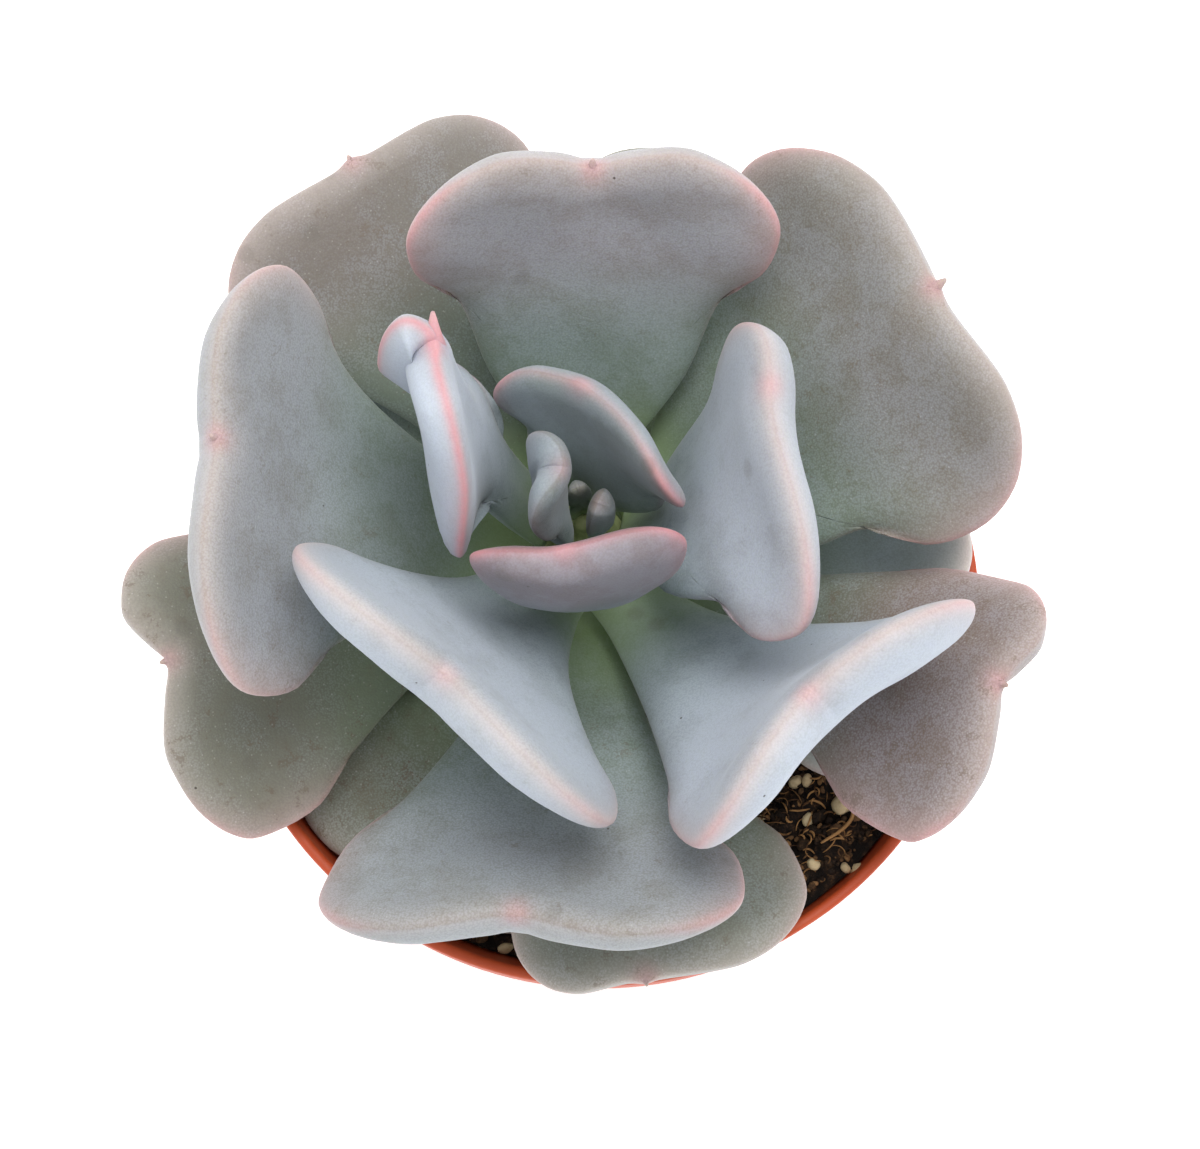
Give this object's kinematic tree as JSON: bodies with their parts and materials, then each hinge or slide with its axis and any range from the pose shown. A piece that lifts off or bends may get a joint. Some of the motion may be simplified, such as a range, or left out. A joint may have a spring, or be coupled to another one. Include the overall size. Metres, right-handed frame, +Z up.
{
  "type": "potted succulent",
  "caption": "Fleshy rosette plant with broad pink-edged leaves, rooted in potting mix in a round tapered nursery pot.",
  "frame": {"origin": "centre of the pot's underside, on the surface that the pot stands on", "axes": "+Z up along the pot's axis, -Y towards the side that faces the viewer in the picture, +X to the viewer's right"},
  "size_m": [0.1218, 0.1202, 0.1514],
  "materials": {
    "pot": "satin",
    "soil": "matte",
    "stem": "matte",
    "leaf": "matte"
  },
  "bodies": {
    "root": {"pot": "pot", "soil": "soil", "stem": "stem", "leaf_01": "leaf", "leaf_02": "leaf", "leaf_03": "leaf", "leaf_04": "leaf", "leaf_05": "leaf", "leaf_06": "leaf", "leaf_07": "leaf", "leaf_08": "leaf", "leaf_09": "leaf", "leaf_10": "leaf", "leaf_11": "leaf", "leaf_12": "leaf", "leaf_13": "leaf", "leaf_14": "leaf", "leaf_15": "leaf", "leaf_16": "leaf", "leaf_17": "leaf", "leaf_18": "leaf", "leaf_19": "leaf", "leaf_20": "leaf", "leaf_21": "leaf"}
  },
  "joints": []
}
